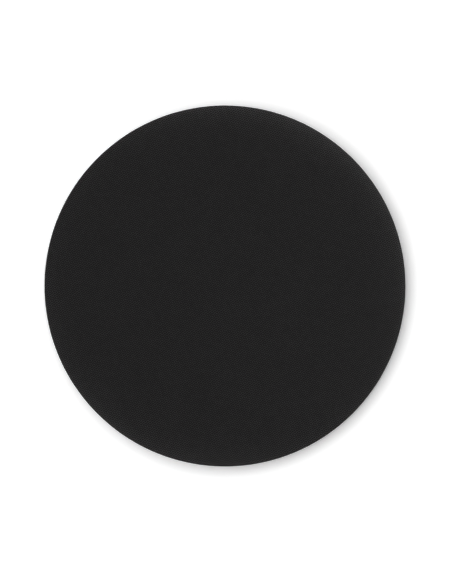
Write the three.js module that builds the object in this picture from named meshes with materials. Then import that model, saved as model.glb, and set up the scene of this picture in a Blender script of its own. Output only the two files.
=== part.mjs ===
// Round mouse pad: knitted cloth on a film of glue on foam rubber, cut out with one round die.
// Millimetres, +Z up. The origin is the centre of the underside.
import * as THREE from 'three';

// Driving dimensions
const PAD_DIAMETER = 200;
const FOAM_THICKNESS = 2.375;
const GLUE_THICKNESS = 0.125;
const CLOTH_THICKNESS = 0.5;
// The die presses the foam as it cuts, so the edge leans in towards the top by this much
const EDGE_LEAN = 0.2;
// Small break along the lower edge of the foam
const FOOT_BREAK = 0.25;
// The glue stops this far inside the cut, which shows as a fine line round the edge
const GLUE_SETBACK = 0.15;
// Radius of the cloth's rim, where the die rolls the yarn over
const RIM_RADIUS = 0.3;
// A rounded or broken edge takes at most this share of the layer it is on
const EDGE_SHARE = 0.8;
// Facets round the pad, and across the quarter circle of the rim
const ROUND_FACETS = 180;
const RIM_FACETS = 4;

// Levels and radii that neighbouring layers share
const padRadius = PAD_DIAMETER / 2;
const foamTop = FOAM_THICKNESS;
const glueTop = foamTop + GLUE_THICKNESS;
const clothTop = glueTop + CLOTH_THICKNESS;
const cutRadius = padRadius - EDGE_LEAN;
const footBreak = Math.min(FOOT_BREAK, EDGE_SHARE * FOAM_THICKNESS);
const rimRadius = Math.min(RIM_RADIUS, EDGE_SHARE * CLOTH_THICKNESS);

// Turns a profile of [radius, height] points about the pad's axis; it starts and ends on that axis
function turned(profile) {
  const points = profile.map(([radius, height]) => new THREE.Vector2(radius, height));
  return new THREE.LatheGeometry(points, ROUND_FACETS).rotateX(Math.PI / 2);
}

function layer(name, geometry, look) {
  const mesh = new THREE.Mesh(geometry, new THREE.MeshStandardMaterial(look));
  mesh.name = name;
  return mesh;
}

// Foam rubber: flat underside, broken lower edge, side that leans in to the cut at the top
function foamBase() {
  return turned([
    [0, 0],
    [padRadius - footBreak, 0],
    [padRadius, footBreak],
    [cutRadius, foamTop],
    [0, foamTop],
  ]);
}

// Glue: a thin disc between foam and cloth
function glueFilm() {
  const glueRadius = cutRadius - GLUE_SETBACK;
  return turned([
    [0, foamTop],
    [glueRadius, foamTop],
    [glueRadius, glueTop],
    [0, glueTop],
  ]);
}

// Cloth: a disc whose upper rim is rolled over in a quarter circle
function clothFace() {
  const rim = [];
  for (let step = 0; step <= RIM_FACETS; step += 1) {
    const angle = (step / RIM_FACETS) * (Math.PI / 2);
    rim.push([
      cutRadius - rimRadius * (1 - Math.cos(angle)),
      clothTop - rimRadius * (1 - Math.sin(angle)),
    ]);
  }
  return turned([[0, glueTop], [cutRadius, glueTop], ...rim, [0, clothTop]]);
}

const mousePad = new THREE.Group();
mousePad.add(
  layer('foam_base', foamBase(), { color: 0x1b1b1c, roughness: 0.9, metalness: 0 }),
  layer('glue_film', glueFilm(), { color: 0x2a2927, roughness: 0.5, metalness: 0 }),
  layer('cloth_face', clothFace(), { color: 0x232323, roughness: 0.95, metalness: 0 }),
);

export default mousePad;
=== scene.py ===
"""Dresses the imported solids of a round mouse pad: a knitted cloth face, a film of glue and a foam base."""

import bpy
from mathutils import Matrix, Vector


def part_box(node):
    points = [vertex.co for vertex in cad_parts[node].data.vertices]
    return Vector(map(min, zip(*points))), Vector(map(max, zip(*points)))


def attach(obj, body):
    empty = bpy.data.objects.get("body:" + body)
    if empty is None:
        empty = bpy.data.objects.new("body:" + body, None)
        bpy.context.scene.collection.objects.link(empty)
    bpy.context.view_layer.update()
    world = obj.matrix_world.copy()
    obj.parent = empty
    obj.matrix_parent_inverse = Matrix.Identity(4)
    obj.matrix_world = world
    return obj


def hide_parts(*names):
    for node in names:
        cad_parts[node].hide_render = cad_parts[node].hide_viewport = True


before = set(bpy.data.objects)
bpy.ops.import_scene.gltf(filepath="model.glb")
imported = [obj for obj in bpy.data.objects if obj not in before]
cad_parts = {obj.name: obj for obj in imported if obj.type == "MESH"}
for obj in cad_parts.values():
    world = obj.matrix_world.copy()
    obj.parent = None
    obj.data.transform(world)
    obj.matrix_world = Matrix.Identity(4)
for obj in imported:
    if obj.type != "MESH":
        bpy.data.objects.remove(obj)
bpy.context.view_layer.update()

import math

import bpy
import numpy as np

bl_info = {
    "name": "Round mouse pad",
    "version": (1, 0, 0),
    "blender": (4, 5, 0),
    "location": "3D View > Sidebar > Mouse Pad",
    "description": "Knitted cloth, glue and foam rubber for a round mouse pad",
    "category": "Object",
}

# Levels and radii that the layers share, in metres
CLOTH_FLOOR, CLOTH_TOP = (corner.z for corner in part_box("cloth_face"))
GLUE_FLOOR, GLUE_TOP = (corner.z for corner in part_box("glue_film"))
FOAM_FLOOR, FOAM_TOP = (corner.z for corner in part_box("foam_base"))
CLOTH_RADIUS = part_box("cloth_face")[1].x
GLUE_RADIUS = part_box("glue_film")[1].x
FOAM_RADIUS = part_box("foam_base")[1].x

FULL_TURN = 2 * math.pi
MM = 0.001

# The photograph's frame, and where the pad lies in it, in pixels
PHOTO_WIDTH, PHOTO_HEIGHT = 452, 584
PAD_MIDDLE_X, PAD_MIDDLE_Y = 224.95, 285.98
PAD_RADIUS_PIXELS = 180.52

# A map of this name is kept for the textures that are made from the materials. What shows lies on a large
# disc in its middle, and each hidden face on a small disc in a corner.
MAP_NAME = "OFBake"
MAP_MIDDLE, MAP_RADIUS = 0.5, 0.49
MAP_CORNER, MAP_CORNER_RADIUS = 0.065, 0.058

# Points nearer than this are one point, and a point this near to a circle lies on it
WELD = 1e-7
ON_CIRCLE = 10 * WELD
# A point nearer to the rim than this share of its step moves onto the rim
NEAR_RIM = 0.3
# Faces that meet at a larger angle keep a sharp edge
SHARP_ANGLE = math.radians(65)
# A flat face that another layer hides is a fan inside a ring of this many points, this far from its edge
HIDDEN_RING = 90
HIDDEN_INSET = 4 * MM


# Meshes


def smooth_step(low, high, value):
    """0 below low, 1 above high and 3t^2 - 2t^3 of the share t in between."""
    share = np.clip((value - low) / (high - low), 0, 1)
    return share * share * (3 - 2 * share)


def smooth_noise(rng, count, knots):
    """Noise from -1 to 1 round a ring of count points: random knots joined by cosine steps."""
    heights = rng.uniform(-1, 1, knots)
    place = np.arange(count) * knots / count
    before = place.astype(int) % knots
    share = 0.5 - 0.5 * np.cos(np.pi * (place % 1))
    return heights[before] * (1 - share) + heights[(before + 1) % knots] * share


class Shell:
    """A closed mesh that grows patch by patch: points, faces of four corners and a flat map of each."""

    def __init__(self):
        self.points = np.zeros((0, 3))
        self.faces = []
        self.maps = []
        self.creased = np.zeros(0, int)

    def add(self, points):
        """Adds points of shape (..., 3) and returns their numbers in the same shape."""
        first = len(self.points)
        self.points = np.concatenate([self.points, points.reshape(-1, 3)])
        return np.arange(first, len(self.points)).reshape(points.shape[:-1])

    def cover(self, faces, flat):
        """Adds faces; flat gives the map's u and v for every point so far."""
        self.faces.append(faces)
        self.maps.append(flat[faces])

    def build(self, name, material):
        """Makes the object. A corner that repeats the next one is left out, so a quad may be a triangle,
        and a face with fewer than three corners left is dropped."""
        faces = np.concatenate(self.faces)
        flat = np.concatenate(self.maps)
        kept = faces != np.roll(faces, -1, axis=1)
        whole = kept.sum(1) > 2
        faces, flat, kept = faces[whole], flat[whole], kept[whole]
        corners = faces[kept].astype(np.int32)
        counts = kept.sum(1)
        starts = np.concatenate([[0], np.cumsum(counts)[:-1]]).astype(np.int32)
        mesh = bpy.data.meshes.new(name)
        mesh.vertices.add(len(self.points))
        mesh.vertices.foreach_set("co", self.points.astype(np.float32).ravel())
        mesh.loops.add(len(corners))
        mesh.loops.foreach_set("vertex_index", corners)
        mesh.polygons.add(len(counts))
        mesh.polygons.foreach_set("loop_start", starts)
        mesh.update(calc_edges=True)
        layer = mesh.uv_layers.new(name=MAP_NAME)
        layer.data.foreach_set("uv", flat[kept].astype(np.float32).ravel())
        if mesh.validate():
            raise RuntimeError(f"{name} has faces that don't fit together")
        mesh.shade_smooth()
        mesh.set_sharp_from_angle(angle=SHARP_ANGLE)
        self.crease(mesh)
        mesh.materials.append(material)
        piece = bpy.data.objects.new(name, mesh)
        bpy.context.scene.collection.objects.link(piece)
        return piece

    def crease(self, mesh):
        """Marks every edge between two creased points as sharp, so that the surface rounds off to it."""
        low = np.zeros(len(self.points), bool)
        low[self.creased] = True
        ends = np.zeros(2 * len(mesh.edges), np.int32)
        sharp = np.zeros(len(mesh.edges), bool)
        mesh.edges.foreach_get("vertices", ends)
        mesh.edges.foreach_get("use_edge_sharp", sharp)
        mesh.edges.foreach_set("use_edge_sharp", sharp | low[ends.reshape(-1, 2)].all(1))


def clipped_lattice(radius, column_step, row_step, lean, shift, spacing):
    """A disc made of columns of points. Column i stands spacing(i) column steps from the middle, and its
    point j lies spacing(j) row steps along it, moved on by shift(i). Every column ends on the circle, and
    one more at either side follows the circle. lean turns the whole about the centre. Returns x and y,
    the column and row of each point, and the faces, which face up."""
    columns = np.arange(-int(radius / column_step) - 1, int(radius / column_step) + 2)
    columns = columns[np.abs(spacing(columns)) * column_step < radius - NEAR_RIM * column_step]
    columns = np.concatenate([columns[:1], columns, columns[-1:]])
    moved = shift(columns)
    last = int((radius + np.abs(moved).max()) / row_step) + 2
    rows = np.arange(-last, last + 1)
    across = np.repeat((spacing(columns) * column_step)[:, None], len(rows), axis=1)
    half = np.sqrt(radius**2 - across**2)
    along = spacing(rows)[None, :] * row_step + moved[:, None]
    ends = np.abs(along) > half - NEAR_RIM * row_step
    along = np.where(ends, np.sign(along) * half, along)
    across[0] = -np.sqrt(radius**2 - along[0] ** 2)
    across[-1] = np.sqrt(radius**2 - along[-1] ** 2)
    places = np.stack([across, along], axis=-1).reshape(-1, 2)
    _, first, number = np.unique(
        np.round(places / WELD).astype(np.int64), axis=0, return_index=True, return_inverse=True
    )
    number = number.reshape(across.shape)
    faces = np.stack([number[:-1, :-1], number[1:, :-1], number[1:, 1:], number[:-1, 1:]], axis=-1)
    across, along = places[first].T
    x = across * math.cos(lean) - along * math.sin(lean)
    y = across * math.sin(lean) + along * math.cos(lean)
    column = np.repeat(columns, len(rows))[first]
    row = np.tile(rows, len(columns))[first]
    return x, y, column, row, faces.reshape(-1, 4)


def ring_angles(count):
    """Even angles round a ring, from 0 on the X axis."""
    return np.arange(count) * FULL_TURN / count


def rings(angles, radii, heights):
    """Rings about the pad's axis: radii and heights have one row per ring and a column per angle."""
    radii, heights, angles = np.broadcast_arrays(radii, heights, angles)
    return np.stack([radii * np.cos(angles), radii * np.sin(angles), heights], axis=-1)


def ring_faces(numbers):
    """Quads between neighbouring rings. They face out where each ring goes outwards or down."""
    after = np.roll(numbers, -1, axis=1)
    return np.stack([numbers[:-1], numbers[1:], after[1:], after[:-1]], axis=-1).reshape(-1, 4)


def zipped(inner, inner_angles, outer, outer_angles):
    """Triangles between two rings with different counts, both in order of angle, facing up. Each step
    along one ring is joined to the point that the other ring has reached there."""
    reached_outer = (np.searchsorted(outer_angles, np.roll(inner_angles, -1)) - 1) % len(outer)
    reached_inner = (np.searchsorted(inner_angles, np.roll(outer_angles, -1), "right") - 1) % len(inner)
    inner_next = np.roll(inner, -1)
    outer_next = np.roll(outer, -1)
    first = np.stack([inner, outer[reached_outer], inner_next, inner_next], axis=-1)
    second = np.stack([outer, outer_next, inner[reached_inner], inner[reached_inner]], axis=-1)
    return np.concatenate([first, second])


def in_order(points, numbers):
    """Numbers of points in order of their angle about the pad's axis, and those angles."""
    angles = np.arctan2(points[numbers, 1], points[numbers, 0]) % FULL_TURN
    order = np.argsort(angles)
    return numbers[order], angles[order]


def disc_map(points, reach, radius, middle):
    """A flat map of a disc: reach is each point's share of the way from the centre along the surface."""
    angles = np.arctan2(points[:, 1], points[:, 0])
    out = np.clip(reach, 0, 1) * radius
    return middle + np.stack([out * np.cos(angles), out * np.sin(angles)], axis=-1)


def add_wall(shell, field, field_out, field_radius, faces, radii, heights, upwards):
    """Covers a round field of points with its faces, adds a wall of rings outside it and joins the two.
    field_out is each field point's distance from the axis. Returns the wall's last ring."""
    count = radii.shape[1]
    angles = ring_angles(count)
    wall = shell.add(rings(angles, radii, heights))
    steps = np.hypot(np.diff(radii[:, 0]), np.diff(heights[:, 0]))
    unrolled = radii[0, 0] + np.concatenate([[0], np.cumsum(steps)])
    reach = np.concatenate([field_out, np.repeat(unrolled, count)]) / unrolled[-1]
    flat = disc_map(shell.points, reach, MAP_RADIUS, MAP_MIDDLE)
    rim, rim_angles = in_order(shell.points, field[field_out > field_radius - ON_CIRCLE])
    for patch in (faces, zipped(rim, rim_angles, wall[0], angles), ring_faces(wall)):
        shell.cover(patch if upwards else patch[:, ::-1], flat)
    return wall[-1]


def close_hidden(shell, ring, height, corner, upwards):
    """Closes a shell with a flat face that another layer hides: a band to a coarser ring, then a fan."""
    around = ring_angles(HIDDEN_RING)
    radius = np.hypot(*shell.points[ring, :2].T).min() - HIDDEN_INSET
    coarse = shell.add(rings(around, radius, height))
    centre = shell.add(np.array([[0.0, 0.0, height]]))
    band = zipped(coarse, around, ring, ring_angles(len(ring)))
    fan = ring_faces(np.stack([np.repeat(centre, HIDDEN_RING), coarse]))
    faces = np.concatenate([band, fan])
    reach = np.hypot(*shell.points[:, :2].T) / (radius + HIDDEN_INSET)
    flat = disc_map(shell.points, reach, MAP_CORNER_RADIUS, corner)
    shell.cover(faces if upwards else faces[:, ::-1], flat)


def stand_for(piece, node):
    """Puts a piece in the place of a solid."""
    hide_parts(node)
    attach(piece, "root")


# Shader values


class Value:
    """A shader socket; arithmetic on it adds Math nodes to the tree that it is in."""

    def __init__(self, socket):
        self.socket = socket

    @staticmethod
    def node(tree, kind, settings=None, sockets=None, outputs=(0,)):
        """Adds a node of a type. Settings are set first, then each socket takes a number or a value.
        Returns the outputs that are asked for: a value if it is one, and otherwise a list."""
        made = tree.nodes.new(kind)
        for name, setting in (settings or {}).items():
            setattr(made, name, setting)
        for name, given in (sockets or {}).items():
            if isinstance(given, Value):
                tree.links.new(given.socket, made.inputs[name])
            else:
                made.inputs[name].default_value = given
        values = [Value(made.outputs[name]) for name in outputs]
        return values[0] if len(values) == 1 else values

    def math(self, operation, *others):
        """The result of a Math node with this value first."""
        terms = dict(enumerate((self, *others)))
        return Value.node(self.socket.id_data, "ShaderNodeMath", {"operation": operation}, terms)

    def reflected(self, operation, other):
        """The result of a Math node with this value second."""
        terms = {0: other, 1: self}
        return Value.node(self.socket.id_data, "ShaderNodeMath", {"operation": operation}, terms)

    def __add__(self, other):
        return self.math("ADD", other)

    def __radd__(self, other):
        return self.reflected("ADD", other)

    def __sub__(self, other):
        return self.math("SUBTRACT", other)

    def __rsub__(self, other):
        return self.reflected("SUBTRACT", other)

    def __mul__(self, other):
        return self.math("MULTIPLY", other)

    def __rmul__(self, other):
        return self.reflected("MULTIPLY", other)

    def __truediv__(self, other):
        return self.math("DIVIDE", other)

    def __rtruediv__(self, other):
        return self.reflected("DIVIDE", other)

    def __pow__(self, other):
        return self.math("POWER", other)

    def __rpow__(self, other):
        return self.reflected("POWER", other)


def rise(value, low, high):
    """0 where a value is below low and 1 above high, with a smooth step between."""
    return Value.node(
        value.socket.id_data,
        "ShaderNodeMapRange",
        {"interpolation_type": "SMOOTHSTEP"},
        {"Value": value, "From Min": low, "From Max": high},
    )


def varied(value, share):
    """1 plus a share of a value that lies about 0."""
    return value * share + 1


def between(mask, start, end):
    """A number that goes from start, where a mask is 0, to end, where it is 1."""
    return mask * (end - start) + start


def bell(value):
    """1 where a value is 0, falling off to both sides as a bell curve."""
    return (value * value * -0.5).math("EXPONENT")


def noise(tree, place, size, detail=2.0, roughness=0.5):
    """Noise about 0, from about -1 to 1, with features of that size in metres."""
    raw = Value.node(
        tree,
        "ShaderNodeTexNoise",
        {"noise_dimensions": "3D"},
        {"Vector": place, "Scale": 1 / size, "Detail": detail, "Roughness": roughness},
    )
    return raw * 2 - 1


def scaled(tree, vector, factor):
    """A vector or colour times a value."""
    return Value.node(tree, "ShaderNodeVectorMath", {"operation": "SCALE"}, {0: vector, "Scale": factor})


def joined(tree, x, y, z=0.0):
    """A vector of three values."""
    return Value.node(tree, "ShaderNodeCombineXYZ", None, {"X": x, "Y": y, "Z": z})


def object_place(tree):
    """The place on the piece, and its x and y, in metres."""
    place = Value.node(tree, "ShaderNodeTexCoord", None, None, ("Object",))
    return place, *Value.node(tree, "ShaderNodeSeparateXYZ", None, {0: place}, ("X", "Y"))


def length(x, y):
    """Distance from the pad's axis."""
    return (x * x + y * y).math("SQRT")


def bumped(tree, height, distance):
    """A normal that follows a height, in which 1 stands for that distance in metres."""
    return Value.node(tree, "ShaderNodeBump", None, {"Height": height, "Distance": distance})


def finished(material, tree, sockets):
    """Ends a material in one Principled shader with these sockets."""
    shader = Value.node(tree, "ShaderNodeBsdfPrincipled", None, sockets)
    Value.node(tree, "ShaderNodeOutputMaterial", None, {"Surface": shader}, ())
    return material


def blank_tree(owner):
    """An empty node tree for a material or world."""
    owner.use_nodes = True
    owner.node_tree.nodes.clear()
    return owner.node_tree


# Settings


class ClothSettings(bpy.types.PropertyGroup):
    """Sizes and colour of the knitted face."""

    wale_pitch: bpy.props.FloatProperty(
        name="Wale pitch",
        description="Distance between neighbouring columns of stitches",
        default=2.476 * MM,
        unit="LENGTH",
    )
    course_pitch: bpy.props.FloatProperty(
        name="Course pitch",
        description="Distance between neighbouring rows of stitches",
        default=1.287 * MM,
        unit="LENGTH",
    )
    lean: bpy.props.FloatProperty(
        name="Lean",
        description="How far the columns of stitches lean from the pad's Y axis",
        default=math.radians(12.8),
        unit="ROTATION",
    )
    skew: bpy.props.FloatProperty(
        name="Skew",
        description="How far the rows of stitches are from square to the columns",
        default=math.radians(1.0),
        unit="ROTATION",
    )
    leg_rise: bpy.props.FloatProperty(
        name="Leg rise",
        description="Rows that a leg of a stitch climbs from the column's middle to its side",
        default=1.05,
    )
    relief: bpy.props.FloatProperty(
        name="Relief",
        description="Depth of the gaps between stitches",
        default=0.2 * MM,
        unit="LENGTH",
    )
    rim_radius: bpy.props.FloatProperty(
        name="Rim radius",
        description="Radius of the upper rim, where the die rolls the yarn over",
        default=0.3 * MM,
        unit="LENGTH",
    )
    colour: bpy.props.FloatVectorProperty(
        name="Yarn colour",
        description="Colour of the dyed yarn",
        default=(0.0158, 0.0154, 0.0155),
        subtype="COLOR",
        min=0,
        max=1,
    )


class GlueSettings(bpy.types.PropertyGroup):
    """Look of the glue between cloth and foam."""

    waviness: bpy.props.FloatProperty(
        name="Waviness",
        description="How far the edge of the film wanders in and out",
        default=0.08 * MM,
        unit="LENGTH",
    )
    colour: bpy.props.FloatVectorProperty(
        name="Glue colour",
        description="Colour of the set glue",
        default=(0.023, 0.022, 0.020),
        subtype="COLOR",
        min=0,
        max=1,
    )


class FoamSettings(bpy.types.PropertyGroup):
    """Sizes and colours of the foam base."""

    emboss_pitch: bpy.props.FloatProperty(
        name="Emboss pitch",
        description="Distance between the raised squares of the underside",
        default=3.0 * MM,
        unit="LENGTH",
    )
    emboss_depth: bpy.props.FloatProperty(
        name="Emboss depth",
        description="Depth of the grooves between the squares",
        default=0.35 * MM,
        unit="LENGTH",
    )
    hollow: bpy.props.FloatProperty(
        name="Hollow",
        description="How far the cut edge is drawn in half way up",
        default=0.12 * MM,
        unit="LENGTH",
    )
    pit_depth: bpy.props.FloatProperty(
        name="Pit depth",
        description="Depth of the cells that the cut opens",
        default=0.2 * MM,
        unit="LENGTH",
    )
    cut_colour: bpy.props.FloatVectorProperty(
        name="Cut colour",
        description="Colour of the cut edge",
        default=(0.020, 0.020, 0.021),
        subtype="COLOR",
        min=0,
        max=1,
    )
    skin_colour: bpy.props.FloatVectorProperty(
        name="Skin colour",
        description="Colour of the embossed underside",
        default=(0.011, 0.011, 0.0115),
        subtype="COLOR",
        min=0,
        max=1,
    )


class StageSettings(bpy.types.PropertyGroup):
    """Floor, light and camera."""

    camera_height: bpy.props.FloatProperty(
        name="Camera height",
        description="Height of the camera above the floor",
        default=1.2,
        unit="LENGTH",
    )
    floor_width: bpy.props.FloatProperty(
        name="Floor width",
        description="Side of the square floor",
        default=12.0,
        unit="LENGTH",
    )
    floor_colour: bpy.props.FloatVectorProperty(
        name="Floor colour",
        description="Colour of the floor as the object sees it",
        default=(0.8, 0.8, 0.8),
        subtype="COLOR",
        min=0,
        max=1,
    )
    floor_white: bpy.props.FloatProperty(
        name="Floor white",
        description="How bright the floor is to the camera, where 1 is white in full light",
        default=1.25,
    )
    dome: bpy.props.FloatProperty(
        name="Dome",
        description="Even light from all round; with the glow it adds up to a plain level of 1",
        default=0.257,
    )
    glow: bpy.props.FloatProperty(
        name="Glow",
        description="Brightness of the wide soft light at its middle",
        default=6.11,
    )
    glow_direction: bpy.props.FloatProperty(
        name="Glow direction",
        description="Where the soft light stands, counted from the pad's X axis",
        default=math.radians(152.9),
        unit="ROTATION",
    )
    glow_height: bpy.props.FloatProperty(
        name="Glow height",
        description="How high the soft light stands above the floor",
        default=math.radians(6.7),
        unit="ROTATION",
    )
    glow_spread: bpy.props.FloatProperty(
        name="Glow spread",
        description="How far the soft light reaches up and down from its middle",
        default=math.radians(14.1),
        unit="ROTATION",
    )


# Knitted face

CLOTH_SEED = 11
# The lattice has four lines in each wale: its middle, a leg, its side and a leg. On each: how far up the
# leg it is, and how high the yarn stands, as a share of the relief.
WALE_LINES = 4
LINE_CLIMB = np.array([0.0, 0.5, 1.0, 0.5])
LINE_HEIGHT = np.array([0.45, 1.0, 0.35, 1.0])
# Height of the gap between two rows, how much heights differ by chance, and the highest that is allowed
ROW_GAP_HEIGHT = 0.3
HEIGHT_SPREAD = 0.12
HEIGHT_LIMIT = 1.1
# How far the yarn strays sideways by chance
YARN_STRAY = 0.03 * MM
# Plain ring between stitches and rolled rim, the width over which the stitches are pressed flat towards
# it, and how deep the pressed cloth lies, as a share of the relief
KNIT_MARGIN = 0.4 * MM
PRESSED_WIDTH = 1.2 * MM
PRESSED_DEPTH = 0.3
# Rings round the rolled rim, and the points in each
RIM_RINGS = 6
RIM_POINTS = 1440
# Cut yarn ends and slower waves: their count round the rim, and how far they stand out or in
YARN_ENDS, YARN_END_REACH = 480, 0.04 * MM
RIM_WAVES, RIM_WAVE_REACH = 60, 0.02 * MM
# Share of that reach that lifts the rim, and the share that is left half way down the cut
END_LIFT = 0.4
END_HALF_WAY = 0.6

# Painted shade and highlight on the yarn: its tone falls off towards the gaps between legs with this power
# of its roundness, has the first tone at a leg's ends and gains the second, a painted highlight, towards its
# middle
GAP_SHADE_POWER = 2
LEG_END_TONE, BOW_HIGHLIGHT = 1.3, 0.85
# Shares by which the tone differs from leg to leg, between filaments, in flecks, in wide clouds and from
# left to right, and the sizes of flecks and clouds
LEG_TONE = 0.2
FILAMENT_TONE = 0.08
FLECK_TONE, FLECK_SIZE = 0.2, 0.6 * MM
CLOUD_TONE, CLOUD_SIZE = 0.06, 26 * MM
SLANT_TONE = 0.05
# Filaments across a leg and breaks along it; the other two keep neighbouring legs and rows unlike
FILAMENTS, FILAMENT_BREAKS = 9, 1.5
LEG_OFFSET, ROW_OFFSET = 7, 3
# Painted glare: the cloth's colour is painted lighter towards the cut in two falls inwards, each with its
# width and strength, which depend on the direction by an even part, a slope and a square towards the far
# right
WIDE_FALL, WIDE_GLARE = 6.7 * MM, 0.45
NARROW_FALL, NARROW_GLARE = 1.4 * MM, 0.3
GLARE_DIRECTION = math.radians(57)
GLARE_EVEN, GLARE_SLOPE, GLARE_SQUARE = 0.56, 0.4, 0.88
# Depth of the fine relief, the shares of it that a leg's roundness, its bow, filaments and fuzz take, and
# the size of the fuzz
YARN_BUMP = 0.06 * MM
ROUND_RELIEF, BOW_RELIEF, FILAMENT_RELIEF, FUZZ_RELIEF = 0.35, 0.2, 0.2, 0.3
FUZZ_SIZE = 0.35 * MM
# Roughness in the gaps and on a leg's crest
GAP_ROUGHNESS, CREST_ROUGHNESS = 0.95, 0.85


def stitch_shift(cloth):
    """How far a line of the lattice moves along itself: up and down a V once a wale, and with the skew."""
    climb = LINE_CLIMB * cloth.leg_rise * cloth.course_pitch
    line_step = cloth.wale_pitch / WALE_LINES
    return lambda column: climb[column % WALE_LINES] + column * line_step * math.sin(cloth.skew)


def stitch_height(column, row, rng):
    """Height of the yarn, as a share of the relief: the line's own height, lowered on every second row,
    which is a gap, plus chance."""
    across = LINE_HEIGHT[column % WALE_LINES]
    along = np.where(row % 2 == 0, 1.0, ROW_GAP_HEIGHT)
    return np.clip(across * along + rng.normal(0, HEIGHT_SPREAD, len(column)), 0, HEIGHT_LIMIT)


def rolled_rim(cloth, rng):
    """Radii and heights of the rings from the flat top to the back: a quarter circle down from the top,
    then a ring half way down the cut and one at its foot. Yarn ends push the rings in and out."""
    yarn_ends = YARN_END_REACH * smooth_noise(rng, RIM_POINTS, YARN_ENDS)
    yarn_ends = yarn_ends + RIM_WAVE_REACH * smooth_noise(rng, RIM_POINTS, RIM_WAVES)
    turn = np.linspace(0, math.pi / 2, RIM_RINGS)[:, None]
    flat_radius = CLOTH_RADIUS - cloth.rim_radius
    level = CLOTH_TOP - PRESSED_DEPTH * cloth.relief
    radii = flat_radius + cloth.rim_radius * np.sin(turn) + yarn_ends * np.sin(turn)
    heights = level - cloth.rim_radius * (1 - np.cos(turn)) + END_LIFT * yarn_ends * np.sin(2 * turn)
    cut_height = level - CLOTH_FLOOR - cloth.rim_radius
    cut_radii = CLOTH_RADIUS + yarn_ends[None, :] * np.array([[END_HALF_WAY], [0.0]])
    cut_heights = CLOTH_FLOOR + cut_height * np.array([[0.5], [0.0]])
    radii = np.concatenate([radii, cut_radii])
    heights = np.concatenate([heights, np.repeat(cut_heights, RIM_POINTS, axis=1)])
    return radii, heights


def knitted_face_shell(cloth):
    """The cloth as one closed shell. Its top is a lattice of stitches whose rows go up and down a V in
    every wale; outside it a rim turns down in a quarter circle to the cut edge, and the back is flat."""
    rng = np.random.default_rng(CLOTH_SEED)
    shell = Shell()
    knit_radius = CLOTH_RADIUS - cloth.rim_radius - KNIT_MARGIN
    line_step = cloth.wale_pitch * math.cos(cloth.skew) / WALE_LINES
    x, y, column, row, faces = clipped_lattice(
        knit_radius, line_step, cloth.course_pitch / 2, cloth.lean, stitch_shift(cloth), np.positive
    )
    out = np.hypot(x, y)
    pressed = smooth_step(knit_radius - PRESSED_WIDTH, knit_radius, out)
    depth = cloth.relief * (1 - stitch_height(column, row, rng)) * (1 - pressed)
    depth += PRESSED_DEPTH * cloth.relief * pressed
    stray = YARN_STRAY * (1 - pressed)
    x = x + stray * rng.normal(size=len(x))
    y = y + stray * rng.normal(size=len(y))
    top = shell.add(np.stack([x, y, CLOTH_TOP - depth], axis=-1))
    shell.creased = top[((column % 2 == 0) | (row % 2 == 1)) & (pressed < 1)]
    radii, heights = rolled_rim(cloth, rng)
    back = add_wall(shell, top, out, knit_radius, faces, radii, heights, True)
    close_hidden(shell, back, CLOTH_FLOOR, MAP_CORNER, False)
    return shell


def knit_pattern(cloth, x, y):
    """The same stitches as values: the way across a leg, from -0.5 to 0.5 with 0 on its crest; the way
    along it, from 0 in the wale's middle to 1 at its side; and the numbers of its half wale and row."""
    across = x * math.cos(cloth.lean) + y * math.sin(cloth.lean)
    along = y * math.cos(cloth.lean) - x * math.sin(cloth.lean)
    wale = across / (cloth.wale_pitch * math.cos(cloth.skew))
    course = (along - wale * (cloth.wale_pitch * math.sin(cloth.skew))) / cloth.course_pitch
    along_leg = wale.math("PINGPONG", 0.5) * 2
    phase = course - along_leg * cloth.leg_rise + 0.5
    across_leg = phase.math("FRACT") - 0.5
    half_wale = (wale * 2).math("FLOOR")
    row = phase.math("FLOOR")
    return across_leg, along_leg, half_wale, row


def painted_rim_glare(x, y):
    """Painted glare: how much lighter the cloth's colour is painted towards the cut. It falls off inwards in
    a wide and a narrow exponential, and is strongest at the far right."""
    out = length(x, y)
    inside = out - CLOTH_RADIUS
    wide = (inside / WIDE_FALL).math("EXPONENT") * WIDE_GLARE
    narrow = (inside / NARROW_FALL).math("EXPONENT") * NARROW_GLARE
    far = (x * math.cos(GLARE_DIRECTION) + y * math.sin(GLARE_DIRECTION)) / out
    return (wide + narrow) * (far * GLARE_SLOPE + far * far * GLARE_SQUARE + GLARE_EVEN)


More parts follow.
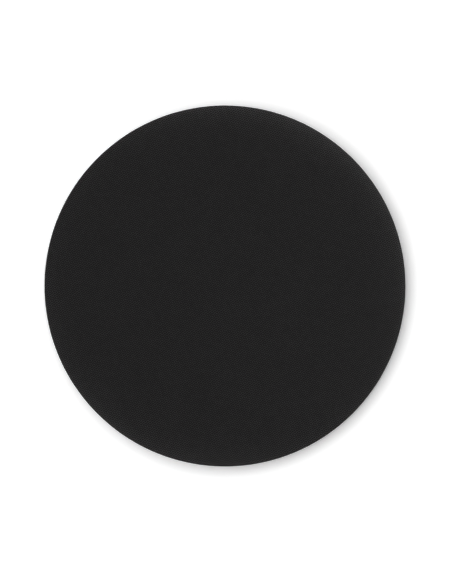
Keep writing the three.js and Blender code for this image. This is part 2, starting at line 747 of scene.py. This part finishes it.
def knitted_yarn(cloth):
    """Black knitted polyester: each leg is round and matt, with painted shade in the gaps and a painted
    highlight along its middle, and fine filaments along it; stitches differ a little in tone, the cloth
    is faintly clouded, and painted glare makes it lighter at the rim."""
    material = bpy.data.materials.new("knitted_yarn")
    tree = blank_tree(material)
    place, x, y = object_place(tree)
    across_leg, along_leg, half_wale, row = knit_pattern(cloth, x, y)
    roundness = 1 - across_leg * across_leg * 4
    bow = (along_leg * math.pi).math("SINE")
    leg = joined(tree, half_wale, row)
    chance = Value.node(tree, "ShaderNodeTexWhiteNoise", {"noise_dimensions": "2D"}, {"Vector": leg})
    along_strand = along_leg * FILAMENT_BREAKS + half_wale * LEG_OFFSET
    strands = joined(tree, across_leg * FILAMENTS, along_strand, row * ROW_OFFSET)
    filament = noise(tree, strands, size=1.0, roughness=0.6)
    fleck = noise(tree, place, FLECK_SIZE, detail=0.0)
    cloud = noise(tree, place, CLOUD_SIZE)
    fuzz = noise(tree, place, FUZZ_SIZE)
    # Painted shade darkens the yarn towards the gaps, and a painted highlight lightens each leg's middle
    tone = roundness**GAP_SHADE_POWER * (bow * BOW_HIGHLIGHT + LEG_END_TONE)
    tone = tone * varied(chance - 0.5, LEG_TONE) * varied(filament, FILAMENT_TONE)
    tone = tone * varied(fleck, FLECK_TONE) * varied(cloud, CLOUD_TONE)
    # The painted rim glare lightens the colour towards the cut
    tone = tone * varied(x / CLOTH_RADIUS, SLANT_TONE) * (painted_rim_glare(x, y) + 1)
    height = roundness * ROUND_RELIEF + bow * BOW_RELIEF
    height = height + filament * FILAMENT_RELIEF + fuzz * FUZZ_RELIEF
    return finished(
        material,
        tree,
        {
            "Base Color": scaled(tree, tuple(cloth.colour), tone),
            "Roughness": between(roundness, GAP_ROUGHNESS, CREST_ROUGHNESS),
            "Specular IOR Level": 0.03,
            "Sheen Weight": 0.015,
            "Sheen Roughness": 0.5,
            "Normal": bumped(tree, height, YARN_BUMP),
        },
    )


class PAD_OT_knit_cloth(bpy.types.Operator):
    """Knits the cloth face over its solid"""

    bl_idname = "pad.knit_cloth"
    bl_label = "Knit Cloth Face"

    def execute(self, context):
        cloth = context.scene.pad_cloth
        piece = knitted_face_shell(cloth).build("knitted_face", knitted_yarn(cloth))
        stand_for(piece, "cloth_face")
        return {"FINISHED"}


# Glue

GLUE_SEED = 23
# Rings up the film's edge, and the points in each
GLUE_RINGS = 5
GLUE_POINTS = 720
# Ripples and slower waves of the edge: their count round the film, and their shares of the waviness
GLUE_RIPPLES, RIPPLE_SHARE = 240, 0.6
GLUE_WAVES, WAVE_SHARE = 48, 0.4
# How far the edge is rounded off
GLUE_ROUNDING = 0.03 * MM
# On the flat map the edge takes the outer part of the disc, from this share on
EDGE_MAP_START = 0.7
# Size of the cloudy streaks, and how much they change the tone and the roughness
STREAK_SIZE, STREAK_TONE, STREAK_ROUGHNESS = 2.5 * MM, 0.3, 0.1
GLUE_ROUGHNESS = 0.45
# Size and height of the fine unevenness
GLUE_GRAIN, GLUE_BUMP = 0.4 * MM, 0.015 * MM


def glue_line_shell(glue):
    """A thin disc with flat, hidden faces. Its edge bulges as a half ellipse between them, and smooth
    noise draws it in by up to the waviness."""
    rng = np.random.default_rng(GLUE_SEED)
    shell = Shell()
    wander = smooth_noise(rng, GLUE_POINTS, GLUE_RIPPLES) * RIPPLE_SHARE
    wander = wander + smooth_noise(rng, GLUE_POINTS, GLUE_WAVES) * WAVE_SHARE
    lift = np.linspace(1, 0, GLUE_RINGS)[:, None]
    bulge = np.sqrt(1 - (2 * lift - 1) ** 2)
    radii = GLUE_RADIUS + glue.waviness * (wander - 1) * 0.5 + GLUE_ROUNDING * (bulge - 1)
    heights = GLUE_FLOOR + (GLUE_TOP - GLUE_FLOOR) * lift
    edge = shell.add(rings(ring_angles(GLUE_POINTS), radii, heights))
    reach = np.repeat(np.linspace(EDGE_MAP_START, 1, GLUE_RINGS), GLUE_POINTS)
    shell.cover(ring_faces(edge), disc_map(shell.points, reach, MAP_RADIUS, MAP_MIDDLE))
    close_hidden(shell, edge[0], GLUE_TOP, MAP_CORNER, True)
    close_hidden(shell, edge[-1], GLUE_FLOOR, 1 - MAP_CORNER, False)
    return shell


def set_glue(glue):
    """Dark hot-melt glue, satin, with cloudy streaks."""
    material = bpy.data.materials.new("set_glue")
    tree = blank_tree(material)
    place, _, _ = object_place(tree)
    streak = noise(tree, place, STREAK_SIZE, detail=3.0, roughness=0.6)
    grain = noise(tree, place, GLUE_GRAIN)
    return finished(
        material,
        tree,
        {
            "Base Color": scaled(tree, tuple(glue.colour), varied(streak, STREAK_TONE)),
            "Roughness": streak * STREAK_ROUGHNESS + GLUE_ROUGHNESS,
            "Normal": bumped(tree, grain, GLUE_BUMP),
        },
    )


class PAD_OT_spread_glue(bpy.types.Operator):
    """Spreads the film of glue between cloth and foam"""

    bl_idname = "pad.spread_glue"
    bl_label = "Spread Glue"

    def execute(self, context):
        glue = context.scene.pad_glue
        piece = glue_line_shell(glue).build("glue_line", set_glue(glue))
        stand_for(piece, "glue_film")
        return {"FINISHED"}


# Foam base

FOAM_SEED = 37
# Lines of the lattice from one groove to the next, how far the lines beside a groove move towards it, in
# steps, and how far the squares are turned
GROOVE_LINES = 4
GROOVE_PULL = 0.55
EMBOSS_TURN = math.radians(45)
# The embossed skin ends this far inside the edge, and its grooves fade out over this width
SKIN_MARGIN = 0.8 * MM
SKIN_FADE = 1.0 * MM
# Small break along the lower edge
FOOT_BREAK = 0.25 * MM
# Rings up the cut side, and the points in each
CUT_RINGS = 12
CUT_POINTS = 2000
# A cell opens where five neighbouring random numbers add up to the first number, and is at its deepest at
# the second; near the ends of the side cells get shallower with this power
CELL_OPENS, CELL_FULL = 2.6, 3.6
CELL_FADE = 0.3
# Where the material changes from skin to cut edge, counted inwards from the pad's edge
CUT_LOOK_STARTS, CUT_LOOK_FULL = 0.7 * MM, 0.4 * MM
# Size of the fine cells; how far from a cell's middle its wall starts and is full, in cells; and the tone
# in the middle, which is painted shade in the open pore, with what the wall adds to it on the skin and
# on the cut
FINE_CELL = 0.28 * MM
WALL_STARTS, WALL_FULL = 0.1, 0.55
PORE_SHADE, SKIN_WALL_TONE, CUT_WALL_TONE = 0.7, 0.2, 0.7
# Sizes of wide clouds and fine grain, and the shares by which they change the tone
FOAM_CLOUD, FOAM_CLOUD_TONE = 6 * MM, 0.15
FOAM_GRAIN, FOAM_GRAIN_TONE = 0.5 * MM, 0.2
# Depth of the fine relief, and the shares of it that cells on the skin, cells on the cut and grain take
FOAM_BUMP = 0.08 * MM
SKIN_CELL_RELIEF, CUT_CELL_RELIEF, GRAIN_RELIEF = 0.2, 0.8, 0.25
# Roughness of skin and cut, and how much the grain changes it
SKIN_ROUGHNESS, CUT_ROUGHNESS, GRAIN_ROUGHNESS = 0.7, 0.9, 0.08


def groove_spacing(number):
    """Where line number k of the underside lies, in steps: of each four, the lines beside a groove stand
    close to it and the one between two grooves stays in the middle."""
    return number + GROOVE_PULL * np.array([0, -1, 0, 1])[number % GROOVE_LINES]


def groove_depth(column, row):
    """Depth of the underside's grooves from 0 to 1: they run along every fourth column and row of the
    lattice and leave squares between them."""
    return np.where((column % GROOVE_LINES == 0) | (row % GROOVE_LINES == 0), 1.0, 0.0)


def open_cells(rng, rows, count):
    """Depth from 0 to 1 of the cells that the cut opens: a random number for each point is added to its
    four neighbours', and a smooth step keeps only the highest sums."""
    raw = rng.random((rows, count))
    soft = raw + np.roll(raw, 1, 1) + np.roll(raw, -1, 1) + np.roll(raw, 1, 0) + np.roll(raw, -1, 0)
    return smooth_step(CELL_OPENS, CELL_FULL, soft)


def cut_side(foam, rng):
    """Radii and heights of the rings from the underside to the top: the broken lower edge, then a side
    that leans in to the cloth's edge, is drawn in as a parabola half way up and pitted with cells."""
    lift = np.linspace(0, 1, CUT_RINGS)[:, None]
    leaning = FOAM_RADIUS + (CLOTH_RADIUS - FOAM_RADIUS) * lift
    drawn_in = foam.hollow * 4 * lift * (1 - lift)
    cells = foam.pit_depth * open_cells(rng, CUT_RINGS, CUT_POINTS) * np.sin(math.pi * lift) ** CELL_FADE
    side_radii = leaning - drawn_in - cells
    side_heights = FOAM_FLOOR + FOOT_BREAK + (FOAM_TOP - FOAM_FLOOR - FOOT_BREAK) * lift
    radii = np.concatenate([np.full((1, CUT_POINTS), FOAM_RADIUS - FOOT_BREAK), side_radii])
    heights = np.concatenate([[[FOAM_FLOOR]], side_heights])
    return radii, np.repeat(heights, CUT_POINTS, axis=1)


def foam_base_shell(foam):
    """The foam as one closed shell: an embossed underside, a broken lower edge, a cut side that is drawn
    in half way up and pitted with open cells, and a flat top that the glue hides."""
    rng = np.random.default_rng(FOAM_SEED)
    shell = Shell()
    skin_radius = FOAM_RADIUS - SKIN_MARGIN
    step = foam.emboss_pitch / GROOVE_LINES
    x, y, column, row, faces = clipped_lattice(
        skin_radius, step, step, EMBOSS_TURN, np.zeros_like, groove_spacing
    )
    out = np.hypot(x, y)
    flat_rim = smooth_step(skin_radius - SKIN_FADE, skin_radius, out)
    height = foam.emboss_depth * groove_depth(column, row) * (1 - flat_rim)
    skin = shell.add(np.stack([x, y, FOAM_FLOOR + height], axis=-1))
    radii, heights = cut_side(foam, rng)
    top = add_wall(shell, skin, out, skin_radius, faces, radii, heights, False)
    close_hidden(shell, top, FOAM_TOP, MAP_CORNER, True)
    return shell


def foam_rubber(foam):
    """Black foam rubber: a duller, paler cut edge full of fine cells with painted shade in their open
    middles, and a smoother embossed skin.
    """
    material = bpy.data.materials.new("foam_rubber")
    tree = blank_tree(material)
    place, x, y = object_place(tree)
    cut = rise(length(x, y), FOAM_RADIUS - CUT_LOOK_STARTS, FOAM_RADIUS - CUT_LOOK_FULL)
    cells = Value.node(
        tree, "ShaderNodeTexVoronoi", {"feature": "F1"}, {"Vector": place, "Scale": 1 / FINE_CELL}
    )
    cloud = noise(tree, place, FOAM_CLOUD, detail=3.0, roughness=0.6)
    grain = noise(tree, place, FOAM_GRAIN, roughness=0.6)
    # Painted shade: each cell is darker in its middle, where the pore is open, and lighter at its walls
    walls = rise(cells, WALL_STARTS, WALL_FULL) * between(cut, SKIN_WALL_TONE, CUT_WALL_TONE)
    tone = (walls + PORE_SHADE) * varied(cloud, FOAM_CLOUD_TONE) * varied(grain, FOAM_GRAIN_TONE)
    colour = Value.node(
        tree,
        "ShaderNodeMix",
        {"data_type": "RGBA"},
        {0: cut, 6: (*foam.skin_colour, 1), 7: (*foam.cut_colour, 1)},
        (2,),
    )
    height = cells * between(cut, SKIN_CELL_RELIEF, CUT_CELL_RELIEF) + grain * GRAIN_RELIEF
    return finished(
        material,
        tree,
        {
            "Base Color": scaled(tree, colour, tone),
            "Roughness": between(cut, SKIN_ROUGHNESS, CUT_ROUGHNESS) + grain * GRAIN_ROUGHNESS,
            "Specular IOR Level": 0.15,
            "Normal": bumped(tree, height, FOAM_BUMP),
        },
    )


class PAD_OT_cut_foam(bpy.types.Operator):
    """Cuts the foam base with its embossed underside"""

    bl_idname = "pad.cut_foam"
    bl_label = "Cut Foam Base"

    def execute(self, context):
        foam = context.scene.pad_foam
        piece = foam_base_shell(foam).build("foam_pad", foam_rubber(foam))
        stand_for(piece, "foam_base")
        return {"FINISHED"}


# Stage

# The glow is full where a direction's share towards its middle is above the second number, and has faded
# out below the first
GLOW_ENDS, GLOW_FULL = -0.905, 0.07
# How far the camera sees, in metres
CAMERA_REACH = 100


def seen_directly(tree):
    """1 for a ray from the camera, a mirror or a pane, and 0 for the rays that light the object."""
    camera, glossy, transmission = Value.node(
        tree, "ShaderNodeLightPath", None, None, ("Is Camera Ray", "Is Glossy Ray", "Is Transmission Ray")
    )
    return (camera + glossy + transmission).math("MINIMUM", 1.0)


def floor_material(stage):
    """A pale floor that the camera sees as white where the light is full, and grey in the shadow."""
    material = bpy.data.materials.new("pale_floor")
    tree = blank_tree(material)
    pale = Value.node(tree, "ShaderNodeBsdfDiffuse", None, {"Color": (*stage.floor_colour, 1)})
    white = Value.node(tree, "ShaderNodeBsdfDiffuse", None, {"Color": (*[stage.floor_white] * 3, 1)})
    shader = Value.node(tree, "ShaderNodeMixShader", None, {0: seen_directly(tree), 1: pale, 2: white})
    Value.node(tree, "ShaderNodeOutputMaterial", None, {"Surface": shader}, ())
    return material


def soft_light(world, stage):
    """An even dome and a wide soft glow low on one side. The glow falls off as a bell curve above and
    below its middle, and fades out round the horizon behind it; the camera sees plain white instead."""
    tree = blank_tree(world)
    way = Value.node(tree, "ShaderNodeTexCoord", None, None, ("Generated",))
    x, y, z = Value.node(tree, "ShaderNodeSeparateXYZ", None, {0: way}, ("X", "Y", "Z"))
    facing = x * math.cos(stage.glow_direction) + y * math.sin(stage.glow_direction)
    apart = (z.math("ARCSINE") - stage.glow_height) / stage.glow_spread
    light = bell(apart) * rise(facing, GLOW_ENDS, GLOW_FULL) * stage.glow + stage.dome
    seen = seen_directly(tree)
    strength = light * (1 - seen) + seen
    shader = Value.node(tree, "ShaderNodeBackground", None, {"Color": (1, 1, 1, 1), "Strength": strength})
    Value.node(tree, "ShaderNodeOutputWorld", None, {"Surface": shader}, ())


def look_down(stage):
    """A camera straight above, with the pad at the photograph's size and place in the frame."""
    pixel = FOAM_RADIUS / PAD_RADIUS_PIXELS
    data = bpy.data.cameras.new("camera")
    data.lens = stage.camera_height * data.sensor_width / (PHOTO_HEIGHT * pixel)
    data.clip_end = CAMERA_REACH
    camera = bpy.data.objects.new("camera", data)
    camera.location = (
        (PHOTO_WIDTH / 2 - PAD_MIDDLE_X) * pixel,
        (PAD_MIDDLE_Y - PHOTO_HEIGHT / 2) * pixel,
        stage.camera_height,
    )
    bpy.context.scene.collection.objects.link(camera)
    return camera


class PAD_OT_set_stage(bpy.types.Operator):
    """Lays the floor and sets the light and the camera"""

    bl_idname = "pad.set_stage"
    bl_label = "Set Stage"

    def execute(self, context):
        scene = context.scene
        stage = scene.pad_stage
        half = stage.floor_width / 2
        corners = [(x * half, y * half, FOAM_FLOOR) for x, y in ((-1, -1), (1, -1), (1, 1), (-1, 1))]
        mesh = bpy.data.meshes.new("floor")
        mesh.from_pydata(corners, [], [(0, 1, 2, 3)])
        mesh.materials.append(floor_material(stage))
        floor = bpy.data.objects.new("floor", mesh)
        scene.collection.objects.link(floor)
        scene.world = bpy.data.worlds.new("studio")
        soft_light(scene.world, stage)
        scene.camera = look_down(stage)
        scene.view_settings.view_transform = "Standard"
        return {"FINISHED"}


# Sidebar


class PAD_PT_pieces(bpy.types.Panel):
    """Lists the pieces and their settings"""

    bl_idname = "PAD_PT_pieces"
    bl_label = "Round Mouse Pad"
    bl_space_type = "VIEW_3D"
    bl_region_type = "UI"
    bl_category = "Mouse Pad"

    def draw(self, context):
        for name, operator in STEPS:
            box = self.layout.box()
            settings = getattr(context.scene, name)
            for key in settings.__annotations__:
                box.prop(settings, key)
            box.operator(operator.bl_idname)


SETTINGS = {
    "pad_stage": StageSettings,
    "pad_foam": FoamSettings,
    "pad_glue": GlueSettings,
    "pad_cloth": ClothSettings,
}
STEPS = (
    ("pad_stage", PAD_OT_set_stage),
    ("pad_foam", PAD_OT_cut_foam),
    ("pad_glue", PAD_OT_spread_glue),
    ("pad_cloth", PAD_OT_knit_cloth),
)
CLASSES = (*SETTINGS.values(), *(operator for _, operator in STEPS), PAD_PT_pieces)


def register():
    for cls in CLASSES:
        bpy.utils.register_class(cls)
    for name, cls in SETTINGS.items():
        setattr(bpy.types.Scene, name, bpy.props.PointerProperty(type=cls))


def unregister():
    for name in SETTINGS:
        delattr(bpy.types.Scene, name)
    for cls in reversed(CLASSES):
        bpy.utils.unregister_class(cls)


def main():
    """Makes the stage and the pieces."""
    register()
    bpy.ops.pad.set_stage()
    bpy.ops.pad.cut_foam()
    bpy.ops.pad.spread_glue()
    bpy.ops.pad.knit_cloth()


if __name__ == "__main__":
    main()
